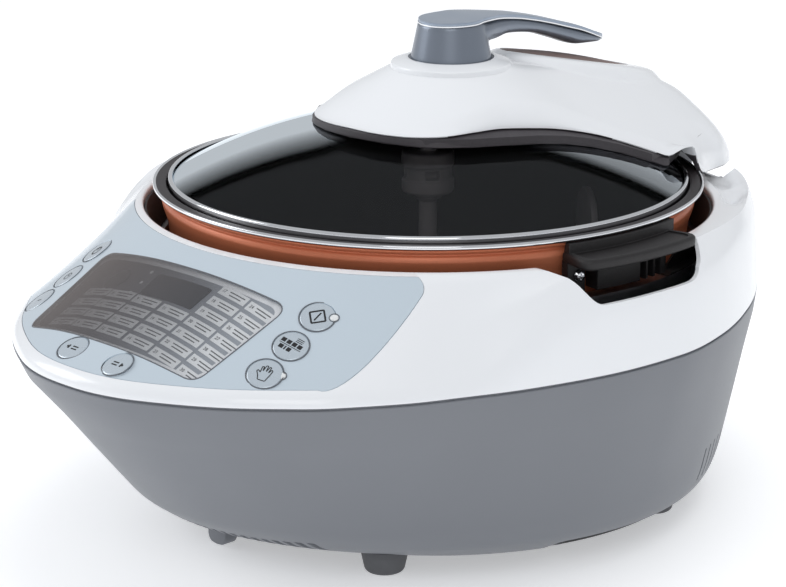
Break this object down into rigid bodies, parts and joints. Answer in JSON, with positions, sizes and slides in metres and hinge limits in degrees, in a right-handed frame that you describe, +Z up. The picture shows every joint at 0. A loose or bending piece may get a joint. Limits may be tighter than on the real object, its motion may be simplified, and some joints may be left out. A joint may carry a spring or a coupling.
{
  "type": "multicooker",
  "caption": "Countertop multicooker: deep round pot in a heated body, sloping control deck, hinged glass lid with an arm, motor, gears and mixing paddle.",
  "frame": {"origin": "on the table, under the middle of the appliance's outline", "axes": "+Z up, -Y towards the control deck, +Y towards the lid hinge, +X towards the right pot handle"},
  "size_m": [0.363, 0.4528, 0.2652],
  "materials": {
    "white": "glossy moulded white",
    "grey_shell": "satin mid grey",
    "silver_panel": "satin silver-blue film",
    "silver_key": "satin silver-blue",
    "smoked_window": null,
    "label_card": "printed card",
    "dark_band": "satin near-black",
    "circuit_board": "coated board",
    "light_lens": "milky lens",
    "gear_nylon": "moulded nylon",
    "copper_pot": "copper-coloured outside, dark non-stick inside",
    "black_textured": "fine-grained black",
    "steel": "bright",
    "inner_steel": "satin",
    "dark_steel": "dull",
    "chrome_ring": "mirror bright",
    "grey_rubber": "matte dark grey",
    "clear_glass": "clear, slightly blue",
    "blue_grey": "satin metallic blue-grey",
    "smoky_nylon": "dull dark grey"
  },
  "bodies": {
    "root": {"upper_housing": "white", "lower_housing": "grey_shell", "control_panel": "silver_panel", "display_window": "smoked_window", "label_card": "label_card", "control_board": "circuit_board", "lcd_module": "dark_band", "key_board_right": "circuit_board", "key_board_left": "circuit_board", "start_light": "light_lens", "manual_light": "light_lens", "pot": "copper_pot", "pot_handle_right": "black_textured", "pot_handle_left": "black_textured", "handle_screw_right": "steel", "handle_screw_left": "steel", "pot_surround": "black_textured", "heating_well": "inner_steel", "bottom_heater": "dark_steel", "temperature_sensor": "inner_steel", "heat_shield": "inner_steel", "base_plate": "grey_shell", "foot_1": "grey_rubber", "foot_2": "grey_rubber", "foot_3": "grey_rubber", "foot_4": "grey_rubber", "base_screw_1": "steel", "base_screw_2": "steel", "base_screw_3": "steel", "base_screw_4": "steel", "power_board": "circuit_board", "power_inlet": "black_textured", "hinge_bracket": "grey_shell", "hinge_pin": "steel", "hinge_spring": "dark_steel"},
    "lid": {"dome_glass": "clear_glass", "lid_rim": "chrome_ring", "lid_seal": "grey_rubber", "glass_clamp": "black_textured", "arm_cover": "white", "arm_inset": "smoked_window", "arm_base": "dark_band", "idler_axle": "steel", "mixing_motor": "dark_steel"},
    "lever": {"handle_body": "blue_grey", "handle_cap": "blue_grey", "handle_spindle": "gear_nylon"},
    "mixer": {"output_gear": "gear_nylon", "drive_shaft": "smoky_nylon", "mixing_paddle": "smoky_nylon"},
    "idler": {"idler_gear": "gear_nylon"},
    "pinion": {"motor_gear": "gear_nylon"},
    "key_right_1_cap": {"key_right_1": "silver_key"},
    "key_left_1_cap": {"key_left_1": "silver_key"},
    "key_right_2_cap": {"key_right_2": "silver_key"},
    "key_left_2_cap": {"key_left_2": "silver_key"},
    "key_right_3_cap": {"key_right_3": "silver_key"},
    "key_left_3_cap": {"key_left_3": "silver_key"},
    "key_hour_cap": {"key_hour": "silver_key"},
    "key_minute_cap": {"key_minute": "silver_key"}
  },
  "joints": [
    {"name": "lid_hinge", "type": "hinge", "parent": "root", "child": "lid", "pos_m": [0, 0.2034, 0.178], "axis": [-1, 0, 0], "range_deg": [0, 85]},
    {"name": "lever_swivel", "type": "hinge", "parent": "lid", "child": "lever", "pos_m": [0, 0.0449, 0.2434], "axis": [0, 0, 1], "range_deg": [0, 90]},
    {"name": "paddle_spin", "type": "hinge", "parent": "lid", "child": "mixer", "pos_m": [0, 0.0274, 0.15], "axis": [0, 0, 1], "continuous": true},
    {"name": "idler_spin", "type": "hinge", "parent": "lid", "child": "idler", "pos_m": [0, 0.0844, 0.222], "axis": [0, 0, 1], "continuous": true},
    {"name": "pinion_spin", "type": "hinge", "parent": "lid", "child": "pinion", "pos_m": [0, 0.1234, 0.222], "axis": [0, 0, 1], "continuous": true},
    {"name": "key_right_1_press", "type": "slide", "parent": "root", "child": "key_right_1_cap", "axis": [-0.3439, 0.4303, -0.8346], "range_m": [0, 0.0006], "stiffness_N_per_m": 800},
    {"name": "key_left_1_press", "type": "slide", "parent": "root", "child": "key_left_1_cap", "axis": [0.3439, 0.4303, -0.8346], "range_m": [0, 0.0006], "stiffness_N_per_m": 800},
    {"name": "key_right_2_press", "type": "slide", "parent": "root", "child": "key_right_2_cap", "axis": [-0.3439, 0.4303, -0.8346], "range_m": [0, 0.0006], "stiffness_N_per_m": 800},
    {"name": "key_left_2_press", "type": "slide", "parent": "root", "child": "key_left_2_cap", "axis": [0.3439, 0.4303, -0.8346], "range_m": [0, 0.0006], "stiffness_N_per_m": 800},
    {"name": "key_right_3_press", "type": "slide", "parent": "root", "child": "key_right_3_cap", "axis": [-0.3439, 0.4303, -0.8346], "range_m": [0, 0.0006], "stiffness_N_per_m": 800},
    {"name": "key_left_3_press", "type": "slide", "parent": "root", "child": "key_left_3_cap", "axis": [0.3439, 0.4303, -0.8346], "range_m": [0, 0.0006], "stiffness_N_per_m": 800},
    {"name": "key_hour_press", "type": "slide", "parent": "root", "child": "key_hour_cap", "axis": [0, 0.4297, -0.903], "range_m": [0, 0.0006], "stiffness_N_per_m": 800},
    {"name": "key_minute_press", "type": "slide", "parent": "root", "child": "key_minute_cap", "axis": [0, 0.4297, -0.903], "range_m": [0, 0.0006], "stiffness_N_per_m": 800}
  ],
  "couplings": [
    {"joint": "idler_spin", "follows": "paddle_spin", "ratio": -1.1111},
    {"joint": "pinion_spin", "follows": "paddle_spin", "ratio": 2.5}
  ]
}
